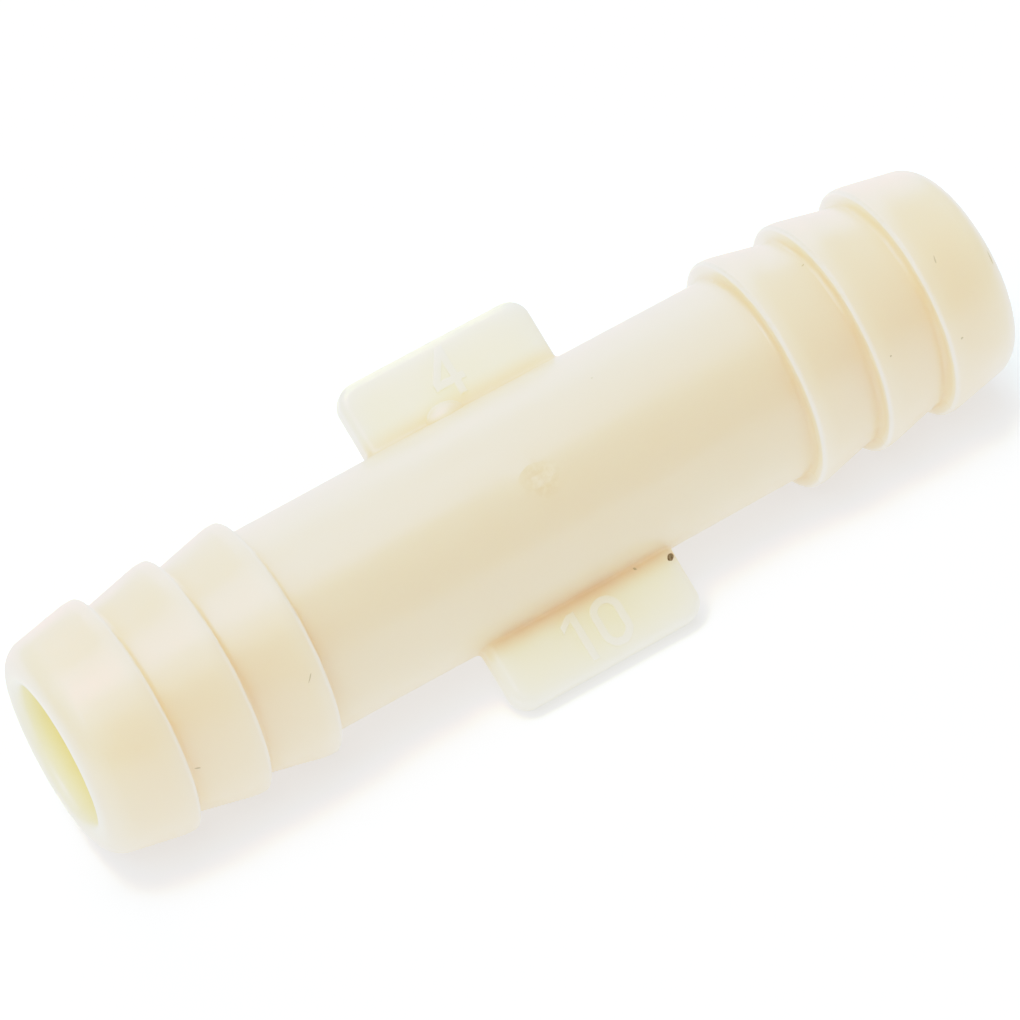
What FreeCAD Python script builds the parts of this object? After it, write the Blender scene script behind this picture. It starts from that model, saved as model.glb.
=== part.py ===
import FreeCAD, Part
import os
import Sketcher

# Vacuum tubing connector: one injection moulded piece that joins two lengths
# of vacuum tubing. A tube with three barbs at each end and two flat wings.
# It is drawn with X along the bore, the wings in the XY plane and Z as the
# mould's pull direction, and then rolled about the bore until it lies as it
# comes to rest: on its barb crests and the edge of one wing. The origin is
# the middle of the bore. Sizes in millimetres.

SIZES = [
    ("bore_diameter", 6.7, "clear bore, end to end"),
    ("stem_wall", 1.45, "wall of the stem beside the innermost barbs"),
    ("stem_swell", 0.05, "how much the stem's radius grows to its middle, as mould draft"),
    ("stem_length", 24.3, "between the two innermost barb steps"),
    ("barb_pitch", 3.46, "step to step"),
    ("barb_root_rise", 0.05, "small end of a barb's cone above the stem"),
    ("barb_height", 0.67, "crest above the small end of the cone"),
    ("crest_land", 0.5, "level stretch on each crest"),
    ("crest_blend", 2.0, "radius between that stretch and the cone"),
    ("crest_round", 0.16, "radius of each crest's edge at its step"),
    ("step_root_round", 0.25, "fillet at the foot of each step"),
    ("nose_barb_length", 3.93, "outermost step to end face"),
    ("nose_round", 1.2, "outer edge of the end face"),
    ("lip_round", 0.4, "edge of the bore"),
    ("wing_length", 9.5, "along the bore"),
    ("wing_height", 3.2, "from the widest part of the stem to the wing's edge"),
    ("wing_thickness", 1.5, "face to face"),
    ("wing_corner_radius", 0.95, "corners seen from the face"),
    ("wing_edge_round", 0.38, "rim of each face"),
    ("wing_root_round", 0.2, "fillet between wing and stem"),
    ("figure_height", 2.3, "raised figures on the wings"),
    ("figure_width", 1.5, "of the round figure and of the one with a crossbar"),
    ("figure_stroke", 0.36, "width of their lines"),
    ("figure_flag", 0.52, "reach of the narrow figure's sloping stroke"),
    ("figure_flag_drop", 0.36, "from the top to the tip of that stroke"),
    ("figure_upright", 0.88, "left side of the crossbar figure to its upright stroke"),
    ("figure_bar", 0.55, "foot of the crossbar figure to its level bar"),
    ("figure_gap", 0.52, "between the two figures of the size mark"),
    ("figure_rise", 0.14, "above the wing's face"),
    ("figure_edge_round", 0.06, "top edges of the figures"),
    ("gate_pad_radius", 0.65, "domed pad at the root of one wing, across the bore"),
    ("gate_pad_length", 1.9, "of that pad, along the bore"),
    ("gate_pad_rise", 0.5, "its top above the wing's face"),
    ("gate_pad_offset", 0.95, "from the middle, along the bore"),
    ("gate_mark_width", 1.7, "shallow dish on top of the stem, along the bore"),
    ("gate_mark_depth", 0.05, "of that dish"),
]
BARB_COUNT = 3

# How far from the wing's plate its root edges may be, as shares of the wall.
BESIDE_SHARE = 1 / 6
ACROSS_SHARE = 1 / 4

# The largest share that a rounding may take of the wall it is on.
HALF = 0.5
RIM_SHARE = 0.4
NOSE_SHARE = 0.8
LIP_SHARE = 0.3

CUT_OVERRUN = 1.0

document = FreeCAD.newDocument("vacuum_tubing_connector")


def make_sheet():
    sheet = document.addObject("Spreadsheet::Sheet", "Sizes")
    for row, (alias, value, note) in enumerate(SIZES, start=1):
        sheet.set(f"A{row}", alias)
        sheet.set(f"B{row}", str(value))
        sheet.set(f"C{row}", note)
        sheet.setAlias(f"B{row}", alias)
    document.recompute()
    return sheet


sheet = make_sheet()

# What follows from the driving sizes, as formulas on the sheet's cells.
BORE_RADIUS = "Sizes.bore_diameter / 2"
STEM_RADIUS = "(Sizes.bore_diameter / 2 + Sizes.stem_wall)"
WAIST_RADIUS = f"({STEM_RADIUS} + Sizes.stem_swell)"
ROOT_RADIUS = f"({STEM_RADIUS} + Sizes.barb_root_rise)"
CREST_RADIUS = f"({ROOT_RADIUS} + Sizes.barb_height)"
LAST_STEP = f"(Sizes.stem_length / 2 + {BARB_COUNT - 1} * Sizes.barb_pitch)"
HALF_LENGTH = f"({LAST_STEP} + Sizes.nose_barb_length)"
WING_TOP = "(Sizes.wing_thickness / 2)"
WING_REACH = f"({WAIST_RADIUS} + Sizes.wing_height)"
WING_MIDDLE = f"({WAIST_RADIUS} + Sizes.wing_height / 2)"
WING_ROOT = f"sqrt({WAIST_RADIUS} ^ 2 - {WING_TOP} ^ 2)"
RIM_ROUND = f"min(Sizes.wing_edge_round; Sizes.wing_thickness * {RIM_SHARE})"
END_WALL = "(Sizes.stem_wall + Sizes.barb_root_rise)"
FIGURE_TOP = f"({WING_TOP} + Sizes.figure_rise)"
MARK_SPHERE = (
    "((Sizes.gate_mark_width ^ 2 / 4 + Sizes.gate_mark_depth ^ 2)"
    " / (2 * Sizes.gate_mark_depth))"
)

# The wing's rim is round, so its middle line stands in from the wing's edge.
RIM_REACH = f"({WING_REACH} - {RIM_ROUND})"
RIM_BELOW = f"({WING_TOP} - {RIM_ROUND})"
REST_ROLL = (
    f"asin(min(1; ({CREST_RADIUS} - {RIM_ROUND}) / hypot({RIM_REACH}; {RIM_BELOW})))"
    f" - atan({RIM_BELOW} / {RIM_REACH})"
)

SMALL = 1e-4


def number(formula):
    return float(sheet.evalExpression(formula))


def near(value, formula):
    return abs(value - number(formula)) < SMALL


def finish(feature):
    """Recomputes, and stops at a feature that failed, which is only marked otherwise."""
    document.recompute()
    if any(state in ("Invalid", "Error") for state in feature.State):
        raise RuntimeError(f"{feature.Name} failed: {feature.State}")
    return feature


def origin_plane(body, role):
    return next(f for f in body.Origin.OriginFeatures if f.Role == role)


def new_sketch(body, name, role):
    sketch = body.newObject("Sketcher::SketchObject", name)
    sketch.AttachmentSupport = [(origin_plane(body, role), "")]
    sketch.MapMode = "FlatFace"
    return sketch


def dimension(sketch, name, kind, places, formula):
    constraint = Sketcher.Constraint(kind, *places, number(formula))
    sketch.renameConstraint(sketch.addConstraint(constraint), name)
    sketch.setExpression(f"Constraints.{name}", formula)


def place(sketch, name, point, along, across):
    """Fixes a point of the sketch by its two distances from the origin."""
    dimension(sketch, f"{name}_x", "DistanceX", (-1, 1, *point), along)
    dimension(sketch, f"{name}_y", "DistanceY", (-1, 1, *point), across)


def draw_polygon(sketch, name, corners):
    """Closed run of straight lines; a corner is a pair of formulas."""
    points = [FreeCAD.Vector(number(x), number(y), 0) for x, y in corners]
    first = sketch.GeometryCount
    count = len(points)
    for i in range(count):
        sketch.addGeometry(Part.LineSegment(points[i], points[(i + 1) % count]), False)
    for i, (along, across) in enumerate(corners):
        following = first + (i + 1) % count
        sketch.addConstraint(Sketcher.Constraint("Coincident", first + i, 2, following, 1))
        place(sketch, f"{name}_{i}", (first + i, 1), along, across)


def draw_slot(sketch, name, middle, half_width, half_height):
    """Upright loop with round ends, from two half circles and two lines."""
    along, across = middle
    reach = f"({half_height} - {half_width})"
    radius = number(half_width)
    top = FreeCAD.Vector(number(along), number(f"{across} + {reach}"), 0)
    bottom = FreeCAD.Vector(number(along), number(f"{across} - {reach}"), 0)
    side = FreeCAD.Vector(radius, 0, 0)
    up = FreeCAD.Vector(0, radius, 0)
    first = sketch.GeometryCount
    sketch.addGeometry(Part.Arc(top + side, top + up, top - side), False)
    sketch.addGeometry(Part.LineSegment(top - side, bottom - side), False)
    sketch.addGeometry(Part.Arc(bottom - side, bottom - up, bottom + side), False)
    sketch.addGeometry(Part.LineSegment(bottom + side, top + side), False)
    for i in range(4):
        following = first + (i + 1) % 4
        sketch.addConstraint(Sketcher.Constraint("Tangent", first + i, 2, following, 1))
    place(sketch, f"{name}_top", (first, 3), along, f"{across} + {reach}")
    place(sketch, f"{name}_bottom", (first + 2, 3), along, f"{across} - {reach}")
    dimension(sketch, f"{name}_top_radius", "Radius", (first,), half_width)
    dimension(sketch, f"{name}_bottom_radius", "Radius", (first + 2,), half_width)


def add_fillet(body, name, wanted, formula):
    base = body.Tip
    edges = [f"Edge{i}" for i, edge in enumerate(base.Shape.Edges, start=1) if wanted(edge)]
    fillet = body.newObject("PartDesign::Fillet", name)
    fillet.Base = (base, edges)
    fillet.Radius = number(formula)
    fillet.setExpression("Radius", formula)
    finish(fillet)
    print(f"{name}: {len(edges)} edges, volume {fillet.Shape.Volume:.3f}")
    return fillet


def add_pad(body, name, sketch, length, symmetric=False):
    pad = body.newObject("PartDesign::Pad", name)
    pad.Profile = sketch
    pad.SideType = "Symmetric" if symmetric else "One side"
    pad.setExpression("Length", length)
    return finish(pad)


def cut_sphere(body, name, radius, centre):
    """A ball taken from the body; centre is three formulas."""
    ball = body.newObject("PartDesign::SubtractiveSphere", name)
    ball.AttachmentSupport = [(origin_plane(body, "XY_Plane"), "")]
    ball.MapMode = "FlatFace"
    ball.setExpression("Radius", radius)
    for axis, formula in zip("xyz", centre):
        ball.setExpression(f"AttachmentOffset.Base.{axis}", formula)
    return finish(ball)


def add_dome(body, name, radius, length, centre):
    """A ball stretched along the bore, added to the body; centre is three formulas."""
    dome = body.newObject("PartDesign::AdditiveEllipsoid", name)
    dome.AttachmentSupport = [(origin_plane(body, "XY_Plane"), "")]
    dome.MapMode = "FlatFace"
    dome.setExpression("Radius1", radius)
    dome.setExpression("Radius2", f"{length} / 2")
    dome.setExpression("Radius3", radius)
    for axis, formula in zip("xyz", centre):
        dome.setExpression(f"AttachmentOffset.Base.{axis}", formula)
    return finish(dome)


def is_circle(edge, x, radius):
    """True for a circle of this radius about the bore's axis, at this place along it."""
    box = edge.BoundBox
    flat = box.XLength < SMALL and near(box.XMin, x)
    return flat and hasattr(edge.Curve, "Radius") and near(edge.Curve.Radius, radius)


def barb_step(index):
    """Where a barb's step is; barb 0 is the one nearest the wings."""
    return f"(Sizes.stem_length / 2 + {index} * Sizes.barb_pitch)"


def step_foot(index):
    return STEM_RADIUS if index == 0 else ROOT_RADIUS


def make_barbed_half(body):
    """One half of the outside: stem, barbs and nose, as a turned shape."""
    corners = [("0", "0"), (HALF_LENGTH, "0"), (HALF_LENGTH, ROOT_RADIUS)]
    for index in reversed(range(BARB_COUNT)):
        step = barb_step(index)
        corners.append((f"{step} + Sizes.crest_land", CREST_RADIUS))
        corners.append((step, CREST_RADIUS))
        corners.append((step, step_foot(index)))
    corners.append(("0", WAIST_RADIUS))
    sketch = new_sketch(body, "HalfSection", "XY_Plane")
    draw_polygon(sketch, "corner", corners)
    turned = body.newObject("PartDesign::Revolution", "HalfOutside")
    turned.Profile = sketch
    turned.ReferenceAxis = (sketch, ["H_Axis"])
    turned.Angle = 360
    finish(turned)

    steps = [(barb_step(index), step_foot(index)) for index in range(BARB_COUNT)]
    add_fillet(body, "CrestBlends", lambda edge: any(
        is_circle(edge, f"{step} + Sizes.crest_land", CREST_RADIUS) for step, _ in steps
    ), "Sizes.crest_blend")
    add_fillet(body, "CrestEdges", lambda edge: any(
        is_circle(edge, step, CREST_RADIUS) for step, _ in steps
    ), f"min(Sizes.crest_round; Sizes.crest_land * {HALF})")
    add_fillet(body, "StepFeet", lambda edge: any(
        is_circle(edge, step, foot) for step, foot in steps
    ), f"min(Sizes.step_root_round; Sizes.barb_height * {HALF})")
    add_fillet(body, "Nose", lambda edge: is_circle(edge, HALF_LENGTH, ROOT_RADIUS),
               f"min(Sizes.nose_round; {END_WALL} * {NOSE_SHARE})")


def mirror_half(body):
    """The other half, as the same shape on the far side of the middle plane."""
    mirrored = body.newObject("PartDesign::Mirrored", "BothEnds")
    mirrored.TransformMode = "Whole shape"
    mirrored.MirrorPlane = (origin_plane(body, "YZ_Plane"), [""])
    mirrored.Refine = True
    body.Tip = mirrored
    finish(mirrored)


def over_wing(edge, height):
    """True for an edge that lies level at this height and outside the stem."""
    box = edge.BoundBox
    level = box.ZLength < SMALL and abs(abs(box.ZMin) - number(height)) < SMALL
    middle = edge.valueAt((edge.FirstParameter + edge.LastParameter) / 2)
    return level and abs(middle.y) > number(WAIST_RADIUS)


def make_wings(body):
    """Both wings are one rounded plate through the stem, at the parting plane."""
    half = "Sizes.wing_length / 2"
    corners = [
        (f"-{half}", f"-{WING_REACH}"),
        (half, f"-{WING_REACH}"),
        (half, WING_REACH),
        (f"-{half}", WING_REACH),
    ]
    sketch = new_sketch(body, "WingOutline", "XY_Plane")
    draw_polygon(sketch, "corner", corners)
    add_pad(body, "Wings", sketch, "Sizes.wing_thickness", symmetric=True)
    add_fillet(body, "WingCorners", lambda edge: (
        near(edge.BoundBox.ZLength, "Sizes.wing_thickness")
        and abs(abs(edge.BoundBox.YMin) - number(WING_REACH)) < SMALL
    ), f"min(Sizes.wing_corner_radius; Sizes.wing_height * {HALF})")
    add_fillet(body, "WingRims", lambda edge: over_wing(edge, WING_TOP), RIM_ROUND)


def at_wing_root(edge):
    """True for the edges in which the stem's surface meets a wing."""
    box = edge.BoundBox
    wall = number("Sizes.stem_wall")
    beside = abs(abs(edge.CenterOfMass.y) - number(WING_ROOT)) < wall * BESIDE_SHARE
    inside = box.ZMax < number(WING_TOP) + SMALL and box.ZMin > -number(WING_TOP) - SMALL
    within = max(abs(box.XMin), abs(box.XMax)) < number("Sizes.wing_length / 2") + SMALL
    return beside and inside and within and box.YLength < wall * ACROSS_SHARE


def bore_through(body):
    sketch = new_sketch(body, "BoreCircle", "YZ_Plane")
    circle = sketch.addGeometry(
        Part.Circle(FreeCAD.Vector(), FreeCAD.Vector(0, 0, 1), number(BORE_RADIUS)), False
    )
    sketch.addConstraint(Sketcher.Constraint("Coincident", circle, 3, -1, 1))
    dimension(sketch, "bore_radius", "Radius", (circle,), BORE_RADIUS)
    bore = body.newObject("PartDesign::Pocket", "Bore")
    bore.Profile = sketch
    bore.SideType = "Symmetric"
    bore.setExpression("Length", f"2 * ({HALF_LENGTH} + {CUT_OVERRUN})")
    finish(bore)
    ends = (HALF_LENGTH, f"-{HALF_LENGTH}")
    add_fillet(body, "BoreLips", lambda edge: any(
        is_circle(edge, end, BORE_RADIUS) for end in ends
    ), f"min(Sizes.lip_round; {END_WALL} * {LIP_SHARE})")


def draw_narrow_figure(sketch, name, left, bottom):
    """An upright stroke with a sloping flag at its top left."""
    top = f"{bottom} + Sizes.figure_height"
    stroke = "Sizes.figure_stroke"
    flag = "Sizes.figure_flag"
    tip = f"{top} - Sizes.figure_flag_drop"
    corners = [
        (f"{left} + {flag}", bottom),
        (f"{left} + {flag} + {stroke}", bottom),
        (f"{left} + {flag} + {stroke}", top),
        (f"{left} + {flag}", top),
        (left, tip),
        (left, f"{tip} - {stroke}"),
        (f"{left} + {flag}", f"{top} - {stroke}"),
    ]
    draw_polygon(sketch, name, corners)


def draw_round_figure(sketch, name, left, bottom):
    """An upright ring with round ends."""
    half_width = "Sizes.figure_width / 2"
    half_height = "Sizes.figure_height / 2"
    middle = (f"{left} + {half_width}", f"{bottom} + {half_height}")
    draw_slot(sketch, f"{name}_outside", middle, half_width, half_height)
    draw_slot(sketch, f"{name}_inside", middle, f"({half_width} - Sizes.figure_stroke)",
              f"({half_height} - Sizes.figure_stroke)")


def draw_crossbar_figure(sketch, name, left, bottom):
    """A sloping stroke down to a level bar, which an upright stroke crosses."""
    stroke = "Sizes.figure_stroke"
    right = f"{left} + Sizes.figure_width"
    upright = f"{left} + Sizes.figure_upright"
    bar = f"{bottom} + Sizes.figure_bar"
    top = f"{bottom} + Sizes.figure_height"
    run = "Sizes.figure_upright"
    rise = f"(Sizes.figure_height - Sizes.figure_bar - {stroke})"
    slant = f"hypot({run}; {rise})"
    outside = [
        (upright, bottom),
        (f"{upright} + {stroke}", bottom),
        (f"{upright} + {stroke}", bar),
        (right, bar),
        (right, f"{bar} + {stroke}"),
        (f"{upright} + {stroke}", f"{bar} + {stroke}"),
        (f"{upright} + {stroke}", top),
        (upright, top),
        (left, f"{bar} + {stroke}"),
        (left, bar),
        (upright, bar),
    ]
    inside = [
        (upright, f"{bar} + {stroke}"),
        (upright, f"{top} - {stroke} * {slant} / {run}"),
        (f"{left} + {stroke} * {slant} / {rise}", f"{bar} + {stroke}"),
    ]
    draw_polygon(sketch, f"{name}_outside", outside)
    draw_polygon(sketch, f"{name}_inside", inside)


def add_figures(body):
    """Plain raised numbers: the size on one wing, the cavity on the other."""
    size_width = (
        "(Sizes.figure_flag + Sizes.figure_stroke + Sizes.figure_gap + Sizes.figure_width)"
    )
    size_left = f"-{size_width} / 2"
    size_bottom = f"-{WING_MIDDLE} - Sizes.figure_height / 2"
    sketch = new_sketch(body, "SizeFigures", "XY_Plane")
    draw_narrow_figure(sketch, "narrow", size_left, size_bottom)
    draw_round_figure(sketch, "ring", f"{size_left} + {size_width} - Sizes.figure_width",
                      size_bottom)
    add_pad(body, "SizeMark", sketch, FIGURE_TOP)
    sketch = new_sketch(body, "CavityFigure", "XY_Plane")
    draw_crossbar_figure(sketch, "crossbar", "-Sizes.figure_width / 2",
                         f"{WING_MIDDLE} - Sizes.figure_height / 2")
    add_pad(body, "CavityMark", sketch, FIGURE_TOP)


def add_mould_marks(body):
    """A domed pad at a wing's root, and the shallow dish that the gate left."""
    radius = "Sizes.gate_pad_radius"
    centre = ("-Sizes.gate_pad_offset", WING_ROOT, f"{WING_TOP} + Sizes.gate_pad_rise - {radius}")
    add_dome(body, "GatePad", radius, "Sizes.gate_pad_length", centre)
    above = f"{WAIST_RADIUS} + {MARK_SPHERE} - Sizes.gate_mark_depth"
    cut_sphere(body, "GateMark", MARK_SPHERE, ("0", "0", above))


def soften_figures(body):
    """Rounds the top edges of the raised figures."""
    add_fillet(body, "FigureEdges", lambda edge: over_wing(edge, FIGURE_TOP),
               f"min(Sizes.figure_edge_round; Sizes.figure_rise * {HALF})")


def lay_down(body):
    """Rolls the piece about its bore until one wing's rim is as low as the crests."""
    body.Placement = FreeCAD.Placement(
        FreeCAD.Vector(), FreeCAD.Rotation(FreeCAD.Vector(1, 0, 0), number(REST_ROLL))
    )
    body.setExpression("Placement.Rotation.Angle", REST_ROLL)
    document.recompute()
    print(f"rest roll {number(REST_ROLL):.2f} degrees")


def make_connector():
    body = document.addObject("PartDesign::Body", "ConnectorBody")
    body.Label = "connector_body"
    make_barbed_half(body)
    mirror_half(body)
    make_wings(body)
    add_fillet(body, "WingRoots", at_wing_root, "Sizes.wing_root_round")
    add_figures(body)
    soften_figures(body)
    add_mould_marks(body)
    bore_through(body)
    lay_down(body)
    return body


def export(bodies):
    """Writes each piece's solid once every object of the document is sound."""
    document.recompute()
    for item in document.Objects:
        if any(state in ("Invalid", "Error") for state in item.State):
            raise RuntimeError(f"{item.Name} failed: {item.State}")
    os.makedirs("parts", exist_ok=True)
    for body in bodies:
        shape = body.Shape
        if shape.isNull() or not shape.isValid() or len(shape.Solids) != 1:
            raise RuntimeError(f"{body.Label} is not one sound solid")
        shape.exportStep(f"parts/{body.Label}.step")
        box = shape.optimalBoundingBox()
        print(f"{body.Label}: {box.XLength:.2f} x {box.YLength:.2f} x {box.ZLength:.2f} mm,"
              f" {shape.Volume:.1f} mm3")


export([make_connector()])
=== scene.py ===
import bpy
import bmesh
import math
from mathutils import Matrix, Vector, noise


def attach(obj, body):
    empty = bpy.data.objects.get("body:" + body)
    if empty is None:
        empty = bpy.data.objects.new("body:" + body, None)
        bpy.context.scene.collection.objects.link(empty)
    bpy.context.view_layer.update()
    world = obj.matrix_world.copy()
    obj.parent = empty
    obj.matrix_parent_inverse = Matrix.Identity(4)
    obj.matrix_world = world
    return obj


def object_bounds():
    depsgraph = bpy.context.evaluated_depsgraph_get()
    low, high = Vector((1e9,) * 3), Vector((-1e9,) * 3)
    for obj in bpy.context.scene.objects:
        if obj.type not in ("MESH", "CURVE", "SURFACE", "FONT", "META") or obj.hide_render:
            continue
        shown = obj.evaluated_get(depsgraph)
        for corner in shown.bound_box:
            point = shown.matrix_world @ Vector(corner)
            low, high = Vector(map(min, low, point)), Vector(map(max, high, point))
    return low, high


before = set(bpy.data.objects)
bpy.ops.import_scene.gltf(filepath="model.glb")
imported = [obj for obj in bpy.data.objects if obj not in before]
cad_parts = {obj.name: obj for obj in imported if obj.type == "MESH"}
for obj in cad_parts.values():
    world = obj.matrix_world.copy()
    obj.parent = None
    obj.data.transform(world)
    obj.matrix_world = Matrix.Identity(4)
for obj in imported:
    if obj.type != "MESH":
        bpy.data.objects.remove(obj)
bpy.context.view_layer.update()
cadLow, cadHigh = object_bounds()
mm = 0.001


def linearColour(hexText):
    # sRGB hex to the linear values that shaders take
    channels = [int(hexText[i:i + 2], 16) / 255 for i in (1, 3, 5)]
    linear = [c / 12.92 if c <= 0.04045 else ((c + 0.055) / 1.055) ** 2.4 for c in channels]
    return (*linear, 1.0)


def addNode(tree, kind, settings=None, links=None):
    # settings go to a socket of that name or number, or else to the node itself
    node = tree.nodes.new(kind)
    for name, value in (settings or {}).items():
        if isinstance(name, int) or name in node.inputs:
            node.inputs[name].default_value = value
        else:
            setattr(node, name, value)
    for name, socket in (links or {}).items():
        tree.links.new(socket, node.inputs[name])
    return node


def newMaterial(name):
    material = bpy.data.materials.new(name)
    material.use_nodes = True
    tree = material.node_tree
    tree.nodes.clear()
    return material, tree


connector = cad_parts["connector_body"]


# the pale wings, from their roots to their edges
wings = {
    "ivory": "#F0E1C1",
    "amber": "#F0DFB5",
    "cloudMm": 7.0 / 3,
    "halfMm": 4.9,
    "endMm": 0.1,
    "fromMm": 5.0,
    "toMm": 5.9,
    "reachMm": 8.0,
}


def restRoll():
    # the part lies on one wing, so the direction of the raised wing's edge gives its roll
    edge = [
        v.co for v in connector.data.vertices
        if math.hypot(v.co.y, v.co.z) > wings["reachMm"] * mm and v.co.z > 0
    ]
    return math.atan2(sum(c.z for c in edge), sum(c.y for c in edge))


partRoll = restRoll()
print("rest roll", round(math.degrees(partRoll), 2))

# natural nylon, injection moulded: ivory, satin, light passes a millimetre or two into it
nylon = {
    "ivory": "#EECEAA",
    "blush": "#ECC9A3",
    "boreIvory": "#FFDCA4",
    "mouthIvory": "#FFE1B0",
    "boreFromMm": 3.6,
    "boreToMm": 4.5,
    "mouthFromMm": 21.3,
    "mouthToMm": 22.7,
    "roughness": 0.3,
    "ior": 1.53,
    "patternRoughness": 0.55,
    "depthMm": 4.0,
    "grainMm": 0.22,
    "grainDepthMm": 0.01,
    "grainStrength": 0.25,
    "cloudMm": 7.0,
}
# the barbs' edges are thin, so light passes them and draws each as a fine pale line
crests = {
    "colour": "#F8EEDC",
    "firstMm": 12.15,
    "pitchMm": 3.46,
    "widthMm": 0.24,
    "outMm": 5.3,
    "fadeMm": 0.15,
    "shade": 0.45,
}
# where the two halves of the mould met, a fine ridge all round in the plane of the wings, with its shade
# painted as a darker line
partingLineAndShade = {"colour": "#DDBB8C", "widthMm": 0.09, "heightMm": 0.01, "shade": 0.4}
# the gate's scar on top of the stem: a slight bump, and painted darker as the shade in its shallow dish
gateScarAndShade = {
    "colour": "#DDB98C",
    "at": (0.15 * mm, -3.25 * mm, 3.6 * mm),
    "clearMm": 1.15,
    "fullMm": 0.35,
    "speckMm": 0.28,
    "speckLow": 0.35,
    "speckHigh": 0.65,
    "heightMm": 0.02,
    "shade": 0.6,
}

# the raised figures on the wings: their tops are painted paler as a highlight, and their walls are painted a
# little deeper as shade
figures = {
    "highlightColour": "#F6F0E6",
    "wallShadeColour": "#E8CF98",
    "faceMm": 0.75,
    "riseMm": 0.14,
    "fromBoreMm": 5.15,
    "fadeMm": 0.1,
    "shade": 0.35,
}


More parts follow.
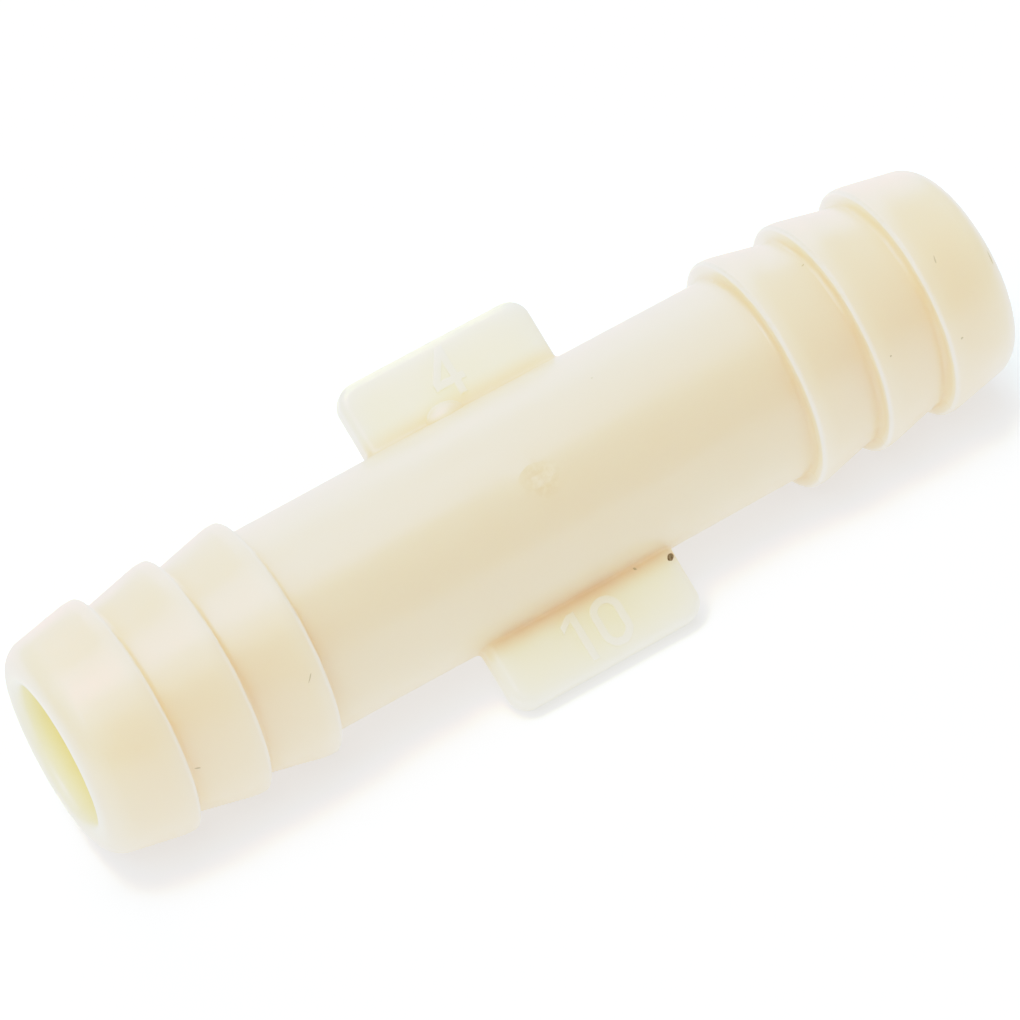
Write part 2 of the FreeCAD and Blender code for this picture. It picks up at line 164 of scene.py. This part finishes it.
def mouldedNylon():
    material, tree = newMaterial("mouldedNylon")
    place = addNode(tree, "ShaderNodeTexCoord").outputs["Object"]
    rising = {"interpolation_type": "SMOOTHSTEP"}
    falling = {"interpolation_type": "SMOOTHSTEP", "To Min": 1.0, "To Max": 0.0}

    # distance from the bore's middle line, and the place with the wings turned level
    across = addNode(tree, "ShaderNodeVectorMath", {"operation": "MULTIPLY", 1: (0.0, 1.0, 1.0)}, {0: place})
    outFromBore = addNode(tree, "ShaderNodeVectorMath", {"operation": "LENGTH"}, {
        0: across.outputs["Vector"],
    })
    unrolled = addNode(tree, "ShaderNodeMapping", {"Rotation": (-partRoll, 0.0, 0.0)}, {"Vector": place})
    level = addNode(tree, "ShaderNodeSeparateXYZ", {}, {"Vector": unrolled.outputs["Vector"]})
    offPlane = addNode(tree, "ShaderNodeMath", {"operation": "ABSOLUTE"}, {0: level.outputs["Z"]})
    offMiddle = addNode(tree, "ShaderNodeMath", {"operation": "ABSOLUTE"}, {0: level.outputs["X"]})
    besideWings = addNode(tree, "ShaderNodeMapRange", falling | {
        "From Min": wings["halfMm"] * mm, "From Max": (wings["halfMm"] + wings["endMm"]) * mm,
    }, {"Value": offMiddle.outputs["Value"]})

    # the stem is faintly clouded
    clouds = addNode(tree, "ShaderNodeTexNoise", {
        "Scale": 1 / (nylon["cloudMm"] * mm), "Detail": 2.0, "Roughness": nylon["patternRoughness"],
    }, {"Vector": place})
    stem = addNode(tree, "ShaderNodeMix", {
        "data_type": "RGBA", 6: linearColour(nylon["ivory"]), 7: linearColour(nylon["blush"]),
    }, {0: clouds.outputs["Fac"]})

    # the wings are solid but thin, and light through them makes them paler than the stem
    wingClouds = addNode(tree, "ShaderNodeTexNoise", {
        "Scale": 1 / (wings["cloudMm"] * mm), "Detail": 2.0, "Roughness": nylon["patternRoughness"],
    }, {"Vector": place})
    wing = addNode(tree, "ShaderNodeMix", {
        "data_type": "RGBA", 6: linearColour(wings["ivory"]), 7: linearColour(wings["amber"]),
    }, {0: wingClouds.outputs["Fac"]})
    pastRoot = addNode(tree, "ShaderNodeMapRange", rising | {
        "From Min": wings["fromMm"] * mm, "From Max": wings["toMm"] * mm,
    }, {"Value": outFromBore.outputs["Value"]})
    thin = addNode(tree, "ShaderNodeMath", {"operation": "MULTIPLY"}, {
        0: besideWings.outputs["Result"], 1: pastRoot.outputs["Result"],
    })
    stemAndWings = addNode(tree, "ShaderNodeMix", {"data_type": "RGBA"}, {
        0: thin.outputs["Value"], 6: stem.outputs[2], 7: wing.outputs[2],
    })

    # the light that comes through the wall makes the bore a warmer yellow, paler at its mouths
    outside = addNode(tree, "ShaderNodeMapRange", rising | {
        "From Min": nylon["boreFromMm"] * mm, "From Max": nylon["boreToMm"] * mm,
    }, {"Value": outFromBore.outputs["Value"]})
    toMouth = addNode(tree, "ShaderNodeMapRange", rising | {
        "From Min": nylon["mouthFromMm"] * mm, "From Max": nylon["mouthToMm"] * mm,
    }, {"Value": offMiddle.outputs["Value"]})
    bore = addNode(tree, "ShaderNodeMix", {
        "data_type": "RGBA", 6: linearColour(nylon["boreIvory"]), 7: linearColour(nylon["mouthIvory"]),
    }, {0: toMouth.outputs["Result"]})
    inAndOut = addNode(tree, "ShaderNodeMix", {"data_type": "RGBA"}, {
        0: outside.outputs["Result"], 6: bore.outputs[2], 7: stemAndWings.outputs[2],
    })

    # each crest starts at its square step, and the next follows a pitch further out
    pastFirst = addNode(tree, "ShaderNodeMath", {"operation": "SUBTRACT", 1: crests["firstMm"] * mm}, {
        0: offMiddle.outputs["Value"],
    })
    pastStep = addNode(tree, "ShaderNodeMath", {"operation": "FLOORED_MODULO", 1: crests["pitchMm"] * mm}, {
        0: pastFirst.outputs["Value"],
    })
    nearStep = addNode(tree, "ShaderNodeMapRange", falling | {
        "From Min": 0.0, "From Max": crests["widthMm"] * mm, "To Min": crests["shade"],
    }, {"Value": pastStep.outputs["Value"]})
    farOut = addNode(tree, "ShaderNodeMapRange", rising | {
        "From Min": crests["outMm"] * mm, "From Max": (crests["outMm"] + crests["fadeMm"]) * mm,
    }, {"Value": outFromBore.outputs["Value"]})
    onCrest = addNode(tree, "ShaderNodeMath", {"operation": "MULTIPLY"}, {
        0: nearStep.outputs["Result"], 1: farOut.outputs["Result"],
    })
    offWings = addNode(tree, "ShaderNodeMapRange", rising | {
        "From Min": wings["halfMm"] * mm, "From Max": (wings["halfMm"] + wings["endMm"]) * mm,
    }, {"Value": offMiddle.outputs["Value"]})
    crestEdge = addNode(tree, "ShaderNodeMath", {"operation": "MULTIPLY"}, {
        0: onCrest.outputs["Value"], 1: offWings.outputs["Result"],
    })

    # the mould parted in the plane of the wings: a fine ridge, and a darker line painted along it as its
    # shade
    nearPlane = addNode(tree, "ShaderNodeMapRange", falling | {
        "From Min": 0.0, "From Max": partingLineAndShade["widthMm"] * mm,
    }, {"Value": offPlane.outputs["Value"]})
    ridge = addNode(tree, "ShaderNodeMath", {"operation": "MULTIPLY"}, {
        0: outside.outputs["Result"], 1: nearPlane.outputs["Result"],
    })
    # painted shade: a darker line along the ridge
    ridgeShade = addNode(tree, "ShaderNodeMapRange", rising | {"To Max": partingLineAndShade["shade"]}, {
        "Value": ridge.outputs["Value"],
    })

    # the figures lie between the wing's face and their tops, and the pad beside them stands higher
    face, rise = figures["faceMm"] * mm, figures["riseMm"] * mm
    onWing = addNode(tree, "ShaderNodeMapRange", rising | {
        "From Min": (figures["fromBoreMm"] - figures["fadeMm"]) * mm, "From Max": figures["fromBoreMm"] * mm,
        "To Max": figures["shade"],
    }, {"Value": outFromBore.outputs["Value"]})
    betweenEnds = addNode(tree, "ShaderNodeMath", {"operation": "MULTIPLY"}, {
        0: besideWings.outputs["Result"], 1: onWing.outputs["Result"],
    })
    belowPad = addNode(tree, "ShaderNodeMapRange", falling | {
        "From Min": face + rise * 1.1, "From Max": face + rise * 1.4,
    }, {"Value": level.outputs["Z"]})
    onFigure = addNode(tree, "ShaderNodeMath", {"operation": "MULTIPLY"}, {
        0: betweenEnds.outputs["Value"], 1: belowPad.outputs["Result"],
    })
    # painted shade: the figures' walls are darkened from the wing's face to a little above it
    aboveFace = addNode(tree, "ShaderNodeMapRange", rising | {
        "From Min": face, "From Max": face + rise * 0.25,
    }, {"Value": level.outputs["Z"]})
    figureWallShade = addNode(tree, "ShaderNodeMath", {"operation": "MULTIPLY"}, {
        0: onFigure.outputs["Value"], 1: aboveFace.outputs["Result"],
    })
    # painted highlight: the figures' tops are made paler
    nearTop = addNode(tree, "ShaderNodeMapRange", rising | {
        "From Min": face + rise * 0.5, "From Max": face + rise,
    }, {"Value": level.outputs["Z"]})
    figureHighlight = addNode(tree, "ShaderNodeMath", {"operation": "MULTIPLY"}, {
        0: onFigure.outputs["Value"], 1: nearTop.outputs["Result"],
    })

    # the gate's scar is patchy: painted shade in patches, with a slight bump
    fromGate = addNode(tree, "ShaderNodeVectorMath", {"operation": "DISTANCE", 1: gateScarAndShade["at"]}, {0: place})
    nearGate = addNode(tree, "ShaderNodeMapRange", falling | {
        "From Min": gateScarAndShade["fullMm"] * mm, "From Max": gateScarAndShade["clearMm"] * mm,
    }, {"Value": fromGate.outputs["Value"]})
    specks = addNode(tree, "ShaderNodeTexNoise", {
        "Scale": 1 / (gateScarAndShade["speckMm"] * mm), "Detail": 3.0, "Roughness": nylon["patternRoughness"],
    }, {"Vector": place})
    patches = addNode(tree, "ShaderNodeMapRange", rising | {
        "From Min": gateScarAndShade["speckLow"], "From Max": gateScarAndShade["speckHigh"], "To Max": gateScarAndShade["shade"],
    }, {"Value": specks.outputs["Fac"]})
    scar = addNode(tree, "ShaderNodeMath", {"operation": "MULTIPLY"}, {
        0: nearGate.outputs["Result"], 1: patches.outputs["Result"],
    })

    colour = inAndOut.outputs[2]
    # painted over the base colour: pale crest lines, the ridge's shade, the figures' wall shade and top
    # highlight, and the scar's shade
    for amount, over in (
        (crestEdge.outputs["Value"], crests["colour"]),
        (ridgeShade.outputs["Result"], partingLineAndShade["colour"]),
        (figureWallShade.outputs["Value"], figures["wallShadeColour"]),
        (figureHighlight.outputs["Value"], figures["highlightColour"]),
        (scar.outputs["Value"], gateScarAndShade["colour"]),
    ):
        colour = addNode(tree, "ShaderNodeMix", {"data_type": "RGBA", 7: linearColour(over)}, {
            0: amount, 6: colour,
        }).outputs[2]

    # satin from the mould's fine spark finish, then the ridge and the scar
    grain = addNode(tree, "ShaderNodeTexNoise", {
        "Scale": 1 / (nylon["grainMm"] * mm), "Detail": 3.0, "Roughness": nylon["patternRoughness"],
    }, {"Vector": place})
    satin = addNode(tree, "ShaderNodeBump", {
        "Strength": nylon["grainStrength"], "Distance": nylon["grainDepthMm"] * mm,
    }, {"Height": grain.outputs["Fac"]})
    ridged = addNode(tree, "ShaderNodeBump", {"Strength": 1.0, "Distance": partingLineAndShade["heightMm"] * mm}, {
        "Height": ridge.outputs["Value"], "Normal": satin.outputs["Normal"],
    })
    scarred = addNode(tree, "ShaderNodeBump", {"Strength": 1.0, "Distance": gateScarAndShade["heightMm"] * mm}, {
        "Height": scar.outputs["Value"], "Normal": ridged.outputs["Normal"],
    })
    shader = addNode(tree, "ShaderNodeBsdfPrincipled", {
        "Roughness": nylon["roughness"],
        "IOR": nylon["ior"],
        "Subsurface Weight": 1.0,
        "Subsurface Radius": (1.0, 1.0, 1.0),
        "Subsurface Scale": nylon["depthMm"] * mm,
    }, {"Base Color": colour, "Normal": scarred.outputs["Normal"]})
    addNode(tree, "ShaderNodeOutputMaterial", {}, {"Surface": shader.outputs["BSDF"]})
    return material


connector.data.materials[0] = mouldedNylon()
print("nylon on the connector")

# dirt pressed into the surface: a dark fleck on a wing and fine marks along the barbs
dirt = {
    "thicknessMm": 0.05,
    "lumpy": 0.5,
    "colours": {"darkFleck": "#5E4A2C", "greyFleck": "#B7A688"},
    "grainColour": "#B9A27C",
    "grainMm": 0.05,
    "roughness": 0.85,
    "flecks": {
        "wingFleck": {
            "colour": "darkFleck", "at": (4.41, -4.54, -2.75), "long": 0.36, "wide": 0.27, "turn": -115,
        },
        "wingSpeck": {
            "colour": "greyFleck", "at": (2.79, -4.33, -2.57), "long": 0.15, "wide": 0.1, "turn": -60,
        },
        "stemSpeck": {
            "colour": "greyFleck", "at": (4.57, -0.48, 4.8), "long": 0.09, "wide": 0.06, "turn": 40,
        },
        "barbScratch": {
            "colour": "greyFleck", "at": (15.29, -0.63, 4.88), "long": 0.22, "wide": 0.07, "turn": 28,
        },
        "noseScratch": {
            "colour": "greyFleck", "at": (20.1, -3.54, 4.09), "long": 0.36, "wide": 0.08, "turn": -105,
        },
        "lipLine": {
            "colour": "greyFleck", "at": (22.62, -3.75, 2.9), "long": 0.6, "wide": 0.08, "turn": -95,
        },
        "noseSpeck": {
            "colour": "greyFleck", "at": (19.72, -5.39, 1.03), "long": 0.14, "wide": 0.11, "turn": 0,
        },
        "barbSpeck": {
            "colour": "greyFleck", "at": (16.35, -5.13, 1.87), "long": 0.11, "wide": 0.09, "turn": 0,
        },
        "crestScratch": {
            "colour": "greyFleck", "at": (-12.87, -5.19, 1.73), "long": 0.42, "wide": 0.06, "turn": -125,
        },
        "lowScratch": {
            "colour": "greyFleck", "at": (-18.6, -4.95, 0.1), "long": 0.28, "wide": 0.08, "turn": -19,
        },
    },
}


def grime(name):
    # dry dirt: dull, with lighter grains in it
    material, tree = newMaterial(name)
    place = addNode(tree, "ShaderNodeTexCoord").outputs["Object"]
    grains = addNode(tree, "ShaderNodeTexNoise", {
        "Scale": 1 / (dirt["grainMm"] * mm), "Detail": 2.0,
    }, {"Vector": place})
    colour = addNode(tree, "ShaderNodeMix", {
        "data_type": "RGBA", 6: linearColour(dirt["colours"][name]), 7: linearColour(dirt["grainColour"]),
    }, {0: addNode(tree, "ShaderNodeMapRange", {"From Min": 0.45, "From Max": 0.8}, {
        "Value": grains.outputs["Fac"],
    }).outputs["Result"]})
    shader = addNode(tree, "ShaderNodeBsdfPrincipled", {"Roughness": dirt["roughness"]}, {
        "Base Color": colour.outputs[2],
    })
    addNode(tree, "ShaderNodeOutputMaterial", {}, {"Surface": shader.outputs["BSDF"]})
    return material


def addFleck(name, setup, material):
    # half sunk, with its long side turned from the bore's direction
    place, normal = connector.closest_point_on_mesh(Vector(setup["at"]) * mm)[1:3]
    mesh = bmesh.new()
    bmesh.ops.create_icosphere(mesh, subdivisions=3, radius=0.5)
    for vert in mesh.verts:
        vert.co *= 1 + dirt["lumpy"] * noise.noise(2 * vert.co + Vector(setup["at"]))
    size = Vector((setup["long"], setup["wide"], dirt["thicknessMm"])) * mm
    bmesh.ops.scale(mesh, vec=size, verts=mesh.verts)
    alongBore = (Vector((1, 0, 0)) - normal * normal.x).normalized()
    lie = Matrix((alongBore, normal.cross(alongBore), normal)).transposed()
    turn = Matrix.Rotation(math.radians(setup["turn"]), 3, "Z")
    bmesh.ops.rotate(mesh, matrix=lie @ turn, cent=(0, 0, 0), verts=mesh.verts)
    bmesh.ops.translate(mesh, vec=place, verts=mesh.verts)
    data = bpy.data.meshes.new(name)
    mesh.to_mesh(data)
    mesh.free()
    data.shade_smooth()
    data.materials.append(material)
    fleck = bpy.data.objects.new(name, data)
    bpy.context.scene.collection.objects.link(fleck)
    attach(fleck, "root")


grimes = {name: grime(name) for name in dirt["colours"]}
for name, setup in dirt["flecks"].items():
    addFleck(name, setup, grimes[setup["colour"]])
print("dirt", len(dirt["flecks"]))

# pale studio paper, lit a little from below, as on a light table
paper = {"size": 30.0, "colour": "#F1F7FC", "roughness": 0.9, "glow": "#F2F8FF", "glowStrength": 0.58}


def paperFloor():
    mesh = bmesh.new()
    bmesh.ops.create_grid(mesh, x_segments=1, y_segments=1, size=paper["size"] / 2)
    bmesh.ops.translate(mesh, vec=(0, 0, cadLow.z), verts=mesh.verts)
    data = bpy.data.meshes.new("paperFloor")
    mesh.to_mesh(data)
    mesh.free()
    floor = bpy.data.objects.new("paperFloor", data)
    bpy.context.scene.collection.objects.link(floor)
    material, tree = newMaterial("whitePaper")
    shader = addNode(tree, "ShaderNodeBsdfPrincipled", {
        "Base Color": linearColour(paper["colour"]), "Roughness": paper["roughness"],
        "Specular IOR Level": 0.0,
        "Emission Color": linearColour(paper["glow"]), "Emission Strength": paper["glowStrength"],
    })
    addNode(tree, "ShaderNodeOutputMaterial", {}, {"Surface": shader.outputs["BSDF"]})
    data.materials.append(material)


paperFloor()

# a light tent: white all round, brightest above and behind; azimuth 0 is in front, 90 is towards +X
studio = {
    "sky": "#FFF4E8",
    "skyStrength": 0.05,
    "distance": 0.5,
    "size": 0.35,
    "softboxes": {
        "overhead": {"azimuth": 180, "elevation": 88, "watts": 2.08, "colour": "#ECF9FF"},
        "rear": {"azimuth": 160, "elevation": 45, "watts": 1.2, "colour": "#E2F6FF"},
        "backdrop": {"azimuth": 160, "elevation": 12, "watts": 1.1, "colour": "#E6F8FF"},
        "front": {"azimuth": -35, "elevation": 65, "watts": 1.75, "colour": "#FBF0E4"},
        "left": {"azimuth": -100, "elevation": 55, "watts": 0.85, "colour": "#EEF8FF"},
        "right": {"azimuth": 80, "elevation": 45, "watts": 0.15, "colour": "#FFF0E2"},
    },
}


def addSoftbox(name, setup):
    light = bpy.data.lights.new(name, "AREA")
    light.shape = "SQUARE"
    light.size = studio["size"]
    light.energy = setup["watts"]
    light.color = linearColour(setup["colour"])[:3]
    turn, rise = math.radians(setup["azimuth"]), math.radians(setup["elevation"])
    lamp = bpy.data.objects.new(name, light)
    lamp.location = studio["distance"] * Vector((
        math.sin(turn) * math.cos(rise), -math.cos(turn) * math.cos(rise), math.sin(rise),
    ))
    lamp.rotation_euler = (-lamp.location).to_track_quat("-Z", "Y").to_euler()
    bpy.context.scene.collection.objects.link(lamp)


for name, setup in studio["softboxes"].items():
    addSoftbox(name, setup)
world = bpy.data.worlds.new("studioWhite")
world.use_nodes = True
world.node_tree.nodes["Background"].inputs["Color"].default_value = linearColour(studio["sky"])
world.node_tree.nodes["Background"].inputs["Strength"].default_value = studio["skyStrength"]
bpy.context.scene.world = world
print("studio lit")

# light in, light out: bright tones are held back as a camera does, and only the lit paper goes to white
toneCurve = (
    (0.0, 0.0), (0.4, 0.42), (0.55, 0.54), (0.7, 0.645), (0.85, 0.72), (1.0, 0.77),
    (1.2, 0.815), (1.55, 0.87), (1.8, 0.97), (2.0, 1.0), (2.4, 1.0),
)


def setToneCurve(view):
    view.view_transform = "Standard"
    view.use_curve_mapping = True
    mapping = view.curve_mapping
    brightest = toneCurve[-1][0]
    mapping.white_level = (brightest, brightest, brightest)
    points = mapping.curves[3].points
    for lightIn, lightOut in toneCurve[1:-1]:
        points.new(lightIn / brightest, lightOut)
    mapping.update()


setToneCurve(bpy.context.scene.view_settings)

# the camera looks down on the part from the side of the wing that it lies on
viewpoint = {
    "azimuth": -20.41,
    "elevation": 40.08,
    "tilt": -15.11,
    "distance": 258 * mm,
    "field": 9.717,
    "aim": (-0.389 * mm, 0.067 * mm, -0.087 * mm),
}


def addCamera():
    camera = bpy.data.objects.new("camera", bpy.data.cameras.new("camera"))
    bpy.context.scene.collection.objects.link(camera)
    turn = math.radians(viewpoint["azimuth"])
    rise = math.radians(viewpoint["elevation"])
    back = Vector((
        math.sin(turn) * math.cos(rise), -math.cos(turn) * math.cos(rise), math.sin(rise),
    ))
    camera.location = Vector(viewpoint["aim"]) + back * viewpoint["distance"]
    level = (-back).to_track_quat("-Z", "Y")
    tilt = Matrix.Rotation(math.radians(viewpoint["tilt"]), 4, "Z")
    camera.rotation_mode = "QUATERNION"
    camera.rotation_quaternion = (level.to_matrix().to_4x4() @ tilt).to_quaternion()
    camera.data.angle = math.radians(viewpoint["field"])
    camera.data.clip_start = 10 * mm
    camera.data.clip_end = 10.0
    bpy.context.scene.camera = camera


addCamera()
